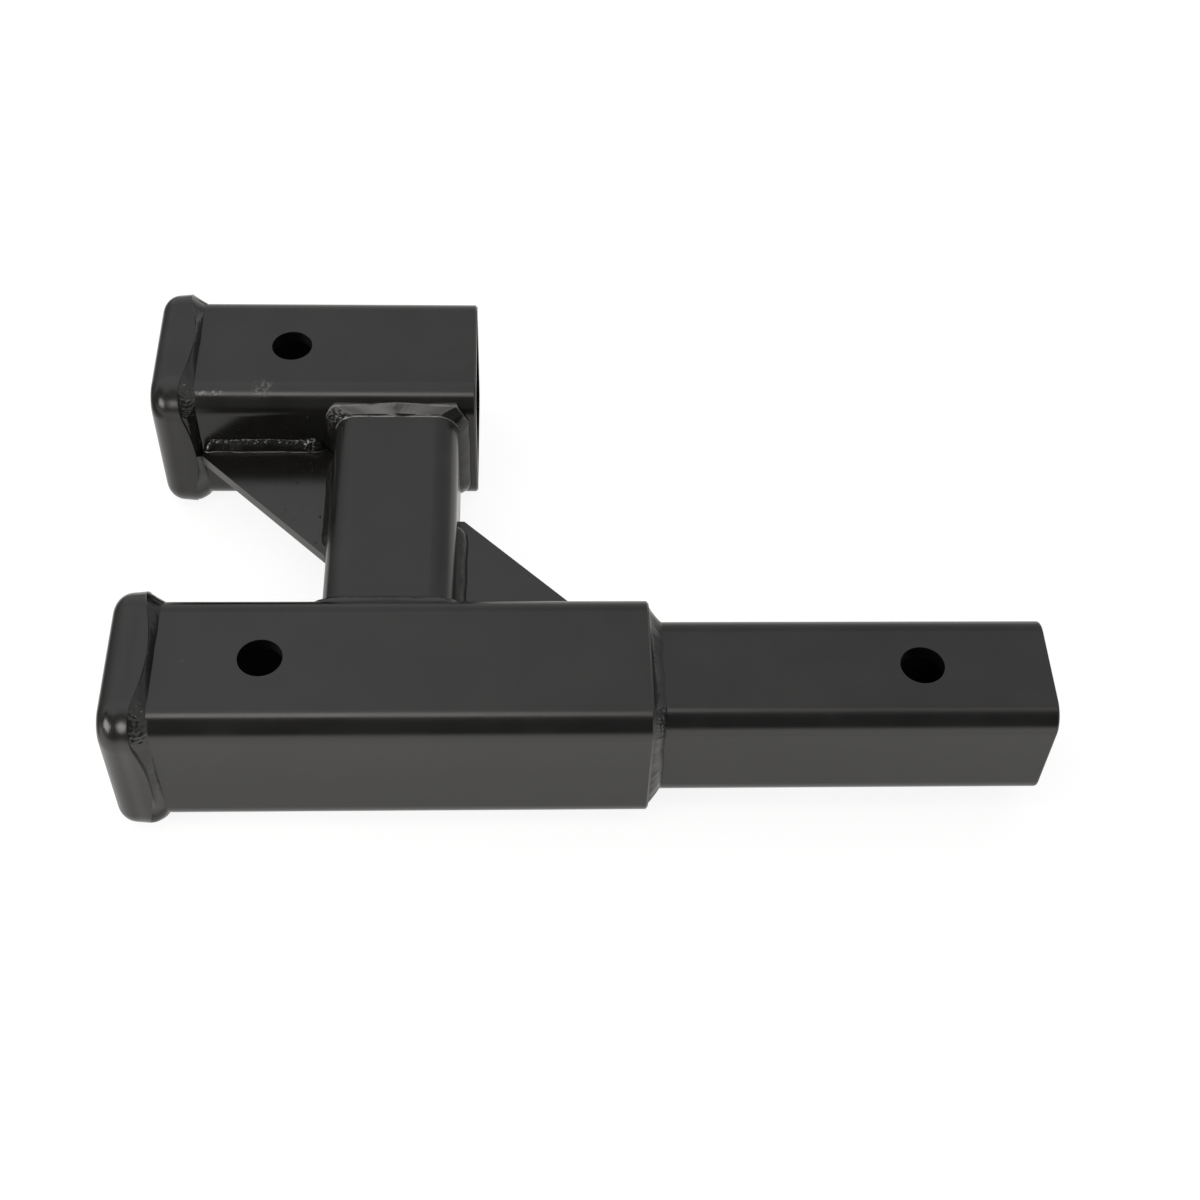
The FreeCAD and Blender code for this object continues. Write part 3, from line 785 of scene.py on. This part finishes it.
def spatter_tree():
    """Balls on a cloud of points that carry their size and the way the surface under them faces."""
    tree = bpy.data.node_groups.new("weld_spatter", "GeometryNodeTree")
    face = tree.interface
    face.new_socket("Geometry", in_out="OUTPUT", socket_type="NodeSocketGeometry")
    face.new_socket("Geometry", in_out="INPUT", socket_type="NodeSocketGeometry")
    face.new_socket("Sink", in_out="INPUT", socket_type="NodeSocketFloat")
    face.new_socket("Seed", in_out="INPUT", socket_type="NodeSocketInt")
    face.new_socket("Coat", in_out="INPUT", socket_type="NodeSocketMaterial")
    given = tree.nodes.new("NodeGroupInput").outputs
    facing = add_node(tree, "GeometryNodeInputNamedAttribute", {"Name": "facing"}, data_type="FLOAT_VECTOR")
    sizes = add_node(tree, "GeometryNodeInputNamedAttribute", {"Name": "size"}, data_type="FLOAT")
    size = [socket for socket in sizes.outputs if socket.enabled][0]
    depth = maths(tree, "MULTIPLY", maths(tree, "MULTIPLY", size, given["Sink"]), -1.0)
    inputs = {0: facing.outputs["Attribute"], "Scale": depth}
    sunk = add_node(tree, "ShaderNodeVectorMath", inputs, operation="SCALE")
    placed = add_node(tree, "GeometryNodeSetPosition", {
        "Geometry": given["Geometry"], "Offset": sunk.outputs[0],
    })
    ball = add_node(tree, "GeometryNodeMeshUVSphere", {"Segments": 8, "Rings": 5, "Radius": 1.0})
    inputs = {2: BALL_STRETCH[0], 3: BALL_STRETCH[1], "Seed": given["Seed"]}
    flatter = add_node(tree, "FunctionNodeRandomValue", inputs, data_type="FLOAT")
    spread = [socket for socket in flatter.outputs if socket.enabled][0]
    width = maths(tree, "MULTIPLY", size, spread)
    scale = add_node(tree, "ShaderNodeCombineXYZ", {"X": width, "Y": size, "Z": width})
    balls = add_node(tree, "GeometryNodeInstanceOnPoints", {
        "Points": placed.outputs[0], "Instance": ball.outputs["Mesh"], "Scale": scale.outputs[0],
    })
    real = add_node(tree, "GeometryNodeRealizeInstances", {"Geometry": balls.outputs[0]})
    smooth = add_node(tree, "GeometryNodeSetShadeSmooth", {"Geometry": real.outputs[0]})
    coated = add_node(tree, "GeometryNodeSetMaterial", {
        "Geometry": smooth.outputs[0], "Material": given["Coat"],
    })
    tree.links.new(coated.outputs[0], tree.nodes.new("NodeGroupOutput").inputs["Geometry"])
    return tree


def spatter_cloud():
    """Points on the flat faces beside the beads, thinning out with distance from each bead."""
    plate_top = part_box("upper_gusset")[1].z
    receiver_side = upper_low.y
    post_face = post_low.x
    cloud = [
        ((-0.2360, 0.1185, plate_top), FACING_UP, 0.00055),
        ((-0.2422, 0.1113, plate_top), FACING_UP, 0.00065),
        ((-0.2315, 0.0927, plate_top), FACING_UP, 0.00075),
        ((-0.2323, 0.0789, plate_top), FACING_UP, 0.00045),
        ((-0.2374, receiver_side, 0.0205), FACING_NEAR, 0.00060),
    ]
    draws = random.Random(SPATTER_SEED)
    for _ in range(PLATE_DRAWS):
        along = draws.uniform(0.010, 0.050)
        off = 0.0048 + draws.expovariate(1 / 0.006)
        if along + off < PLATE_EDGE:
            for left, down in ((along, off), (off, along)):
                place = (post_face - left, receiver_side - down, plate_top)
                cloud.append((place, FACING_UP, draws.uniform(*SMALL_BALL)))
    for _ in range(SIDE_DRAWS):
        off = 0.0085 + draws.expovariate(1 / 0.004)
        if off < SIDE_REACH:
            place = (draws.uniform(-0.281, -0.232), receiver_side, off)
            cloud.append((place, FACING_NEAR, draws.uniform(*SMALL_BALL)))
    for _ in range(POST_DRAWS):
        off = 0.0052 + draws.expovariate(1 / 0.005)
        place = (draws.uniform(-0.218, -0.183), receiver_side - off, shank_half)
        cloud.append((place, FACING_UP, draws.uniform(*TINY_BALL)))
    return cloud


cloud = spatter_cloud()
specks = bpy.data.meshes.new("spatter_points")
specks.from_pydata([place for place, _, _ in cloud], [], [])
sizes = specks.attributes.new("size", "FLOAT", "POINT")
for i, (_, _, size) in enumerate(cloud):
    sizes.data[i].value = size
ways = specks.attributes.new("facing", "FLOAT_VECTOR", "POINT")
for i, (_, facing, _) in enumerate(cloud):
    ways.data[i].vector = facing
spatter = meshed("weld_spatter", specks, spatter_tree(), {
    "Sink": SPATTER_SINK, "Seed": SPATTER_SEED, "Coat": weld_coat,
})
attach(spatter, "root")

# Studio: a white table, a white tent lit from all round, a long panel overhead and a small
# light box at the left front. The tent is open towards the camera, which leaves the round
# edges their dark band.
WHITE = (1, 1, 1, 1)
TABLE_REACH = 5.0
TABLE_HIDES_SHADOW = 0.76
TABLE_GLOW = 1.17
PANEL_HEIGHT = 0.80
PANEL_X = (-0.50, 0.75)
PANEL_Y = (-0.272, 0.01)
SIDE_BOX_SIZE = (0.28, 0.20)
SIDE_BOX_PLACE = (-0.65, -0.257, 0.23)
SIDE_BOX_TARGET = (-0.30, 0.04, 0.03)
SIDE_BOX_RADIANCE = 7.5


def studio_sheet(name, corners, material):
    """Flat four-cornered sheet that belongs to the studio."""
    mesh = bpy.data.meshes.new(name)
    mesh.from_pydata(corners, [], [(0, 1, 2, 3)])
    mesh.materials.append(material)
    sheet = bpy.data.objects.new(name, mesh)
    bpy.context.scene.collection.objects.link(sheet)


def studio_material(name):
    """Empty material and its tree."""
    made = bpy.data.materials.new(name)
    made.use_nodes = True
    made.node_tree.nodes.clear()
    return made, made.node_tree


def mixed(tree, share, first, second):
    """Output of a shader that goes from the first to the second by a share."""
    return add_node(tree, "ShaderNodeMixShader", {0: share, 1: first, 2: second}).outputs[0]


def finish_surface(tree, shader, kind="ShaderNodeOutputMaterial"):
    """Links a shader's output to the surface of a new output node."""
    add_node(tree, kind, {"Surface": shader})


white, tree = studio_material("white_table")
place = add_node(tree, "ShaderNodeTexCoord").outputs["Object"]
x, y, _ = add_node(tree, "ShaderNodeSeparateXYZ", {"Vector": place}).outputs
rays = add_node(tree, "ShaderNodeLightPath").outputs
matt = add_node(tree, "ShaderNodeBsdfDiffuse", {"Color": (0.8, 0.8, 0.8, 1)})
glow = add_node(tree, "ShaderNodeEmission", {"Color": WHITE, "Strength": TABLE_GLOW})
glow_share = maths(tree, "MULTIPLY", rays["Is Camera Ray"], TABLE_HIDES_SHADOW)
seen = mixed(tree, glow_share, matt.outputs[0], glow.outputs[0])

# What the coat mirrors of the table is a glow, not lit by the lamps: painted light brighter towards the
# front, and painted shadow darker beside the part and at its left rear
far_front = band(tree, y, -0.60, -0.20, 0.6, 1.5)
beside_part = band(tree, x, -0.36, -0.30, 0.8, 0.55)
near_part = band(tree, y, -0.14, -0.03, 1.0, beside_part)
rear = band(tree, y, -0.06, -0.01, 0.0, 1.0)
left = band(tree, x, -0.42, -0.34, 1.0, 0.0)
rear_left = maths(tree, "MULTIPLY_ADD", maths(tree, "MULTIPLY", rear, left), -0.85, 1.0)
mirrored_light = maths(tree, "MULTIPLY", maths(tree, "MULTIPLY", far_front, near_part), rear_left)
sheen = add_node(tree, "ShaderNodeEmission", {
    "Color": (1.0, 0.985, 0.965, 1), "Strength": mirrored_light,
})
is_mirrored = maths(tree, "MAXIMUM", rays["Is Glossy Ray"], rays["Is Transmission Ray"])
from_above = mixed(tree, is_mirrored, seen, sheen.outputs[0])

# The table can't be seen from below, so it never hides the part
is_below = add_node(tree, "ShaderNodeNewGeometry").outputs["Backfacing"]
clear = add_node(tree, "ShaderNodeBsdfTransparent").outputs[0]
finish_surface(tree, mixed(tree, is_below, from_above, clear))
table_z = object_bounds()[0][2]
studio_sheet("table", [
    (-TABLE_REACH, -TABLE_REACH, table_z), (TABLE_REACH, -TABLE_REACH, table_z),
    (TABLE_REACH, TABLE_REACH, table_z), (-TABLE_REACH, TABLE_REACH, table_z),
], white)

# The panel is brightest above the collars and fades to the right and to the back
panel, tree = studio_material("panel_light")
place = add_node(tree, "ShaderNodeTexCoord").outputs["Object"]
x, y, _ = add_node(tree, "ShaderNodeSeparateXYZ", {"Vector": place}).outputs
along = band(tree, x, -0.36, 0.12, 4.0, 1.2)
across = band(tree, y, -0.09, 0.01, 1.0, 0.25)
glow = add_node(tree, "ShaderNodeEmission", {
    "Color": (1.0, 0.98, 0.945, 1), "Strength": maths(tree, "MULTIPLY", along, across),
})
finish_surface(tree, glow.outputs[0])
studio_sheet("panel", [
    (PANEL_X[0], PANEL_Y[0], PANEL_HEIGHT), (PANEL_X[0], PANEL_Y[1], PANEL_HEIGHT),
    (PANEL_X[1], PANEL_Y[1], PANEL_HEIGHT), (PANEL_X[1], PANEL_Y[0], PANEL_HEIGHT),
], panel)

side_light = bpy.data.lights.new("side_box", "AREA")
side_light.shape = "RECTANGLE"
side_light.size, side_light.size_y = SIDE_BOX_SIZE
side_light.energy = SIDE_BOX_RADIANCE * math.pi * side_light.size * side_light.size_y
side_light.color = (1.0, 0.985, 0.96)
side_box = bpy.data.objects.new("side_box", side_light)
bpy.context.scene.collection.objects.link(side_box)
side_box.location = SIDE_BOX_PLACE
side_box.rotation_mode = "QUATERNION"
to_collars = Vector(SIDE_BOX_TARGET) - side_box.location
side_box.rotation_quaternion = to_collars.to_track_quat("-Z", "Y")

# The tent: its walls, and the opening towards the camera, whose edge leans with the way to it
world = bpy.data.worlds.new("tent")
bpy.context.scene.world = world
world.use_nodes = True
tree = world.node_tree
tree.nodes.clear()
way = add_node(tree, "ShaderNodeTexCoord").outputs["Generated"]
way_x, way_y, way_z = add_node(tree, "ShaderNodeSeparateXYZ", {"Vector": way}).outputs
lean = maths(tree, "ARCTAN2", maths(tree, "MULTIPLY", way_y, -1.0), way_z)
lean = maths(tree, "MULTIPLY", lean, 180 / math.pi)
sideways = band(tree, way_x, -0.12, 0.15, 1.04, 0.77)
high_back = band(tree, lean, -50.0, -35.0, 0.66, 1.05)
left_wall = band(tree, way_x, -0.62, -0.50, 1.0, 0.0)
low_left = band(tree, way_z, 0.0, 0.6, 0.44, 1.0)
wall_light = maths(tree, "MULTIPLY_ADD", left_wall, maths(tree, "SUBTRACT", low_left, 1.0), 1.0)
tent = maths(tree, "MULTIPLY", maths(tree, "MULTIPLY", sideways, high_back), wall_light)
edge = band(tree, way_x, -0.78, -0.58, -18.0, 6.0)
open_share = band(tree, maths(tree, "SUBTRACT", lean, edge), 0.0, 9.0)
not_right = band(tree, way_x, 0.6, 0.8, 1.0, 0.0)
open_share = maths(tree, "MULTIPLY", open_share, not_right)
opening_start = band(tree, way_x, -0.05, 0.12, 0.30, 0.85)
opening = band(tree, lean, 5.0, 38.0, opening_start, 0.17)
opening = maths(tree, "MULTIPLY", opening, band(tree, way_x, -0.60, -0.38, 0.45, 1.0))
strength = maths(tree, "MULTIPLY_ADD", maths(tree, "SUBTRACT", opening, tent), open_share, tent)
rays = add_node(tree, "ShaderNodeLightPath").outputs
strength = maths(tree, "MAXIMUM", strength, rays["Is Camera Ray"])
glow = add_node(tree, "ShaderNodeBackground", {"Color": WHITE, "Strength": strength})
finish_surface(tree, glow.outputs[0], "ShaderNodeOutputWorld")

# Camera: the photograph's place and angle, fitted to the part's printed sizes.
# Its focal length was fitted in pixels of the photograph.
SENSOR_WIDTH = 36
FOCAL_PIXELS = 1877.6
PHOTO_PIXELS = 1200
CAMERA_PLACE = Vector((-0.150667, -0.411216, 0.585631))
PITCH, YAW, ROLL = (math.radians(a) for a in (51.632, 4.017, 3.048))
ahead = Vector((
    math.sin(YAW) * math.cos(PITCH), math.cos(YAW) * math.cos(PITCH), -math.sin(PITCH)
))
level_right = Vector((math.cos(YAW), -math.sin(YAW), 0))
level_up = level_right.cross(ahead)
right = level_right * math.cos(ROLL) + level_up * math.sin(ROLL)
up = level_up * math.cos(ROLL) - level_right * math.sin(ROLL)
lens = bpy.data.cameras.new("camera")
lens.sensor_width = SENSOR_WIDTH
lens.lens = SENSOR_WIDTH * FOCAL_PIXELS / PHOTO_PIXELS
lens.clip_start = 0.01
camera = bpy.data.objects.new("camera", lens)
bpy.context.scene.collection.objects.link(camera)
turned = Matrix((right, up, -ahead)).transposed().to_4x4()
camera.matrix_world = Matrix.Translation(CAMERA_PLACE) @ turned
bpy.context.scene.camera = camera
bpy.context.scene.view_settings.view_transform = "Standard"
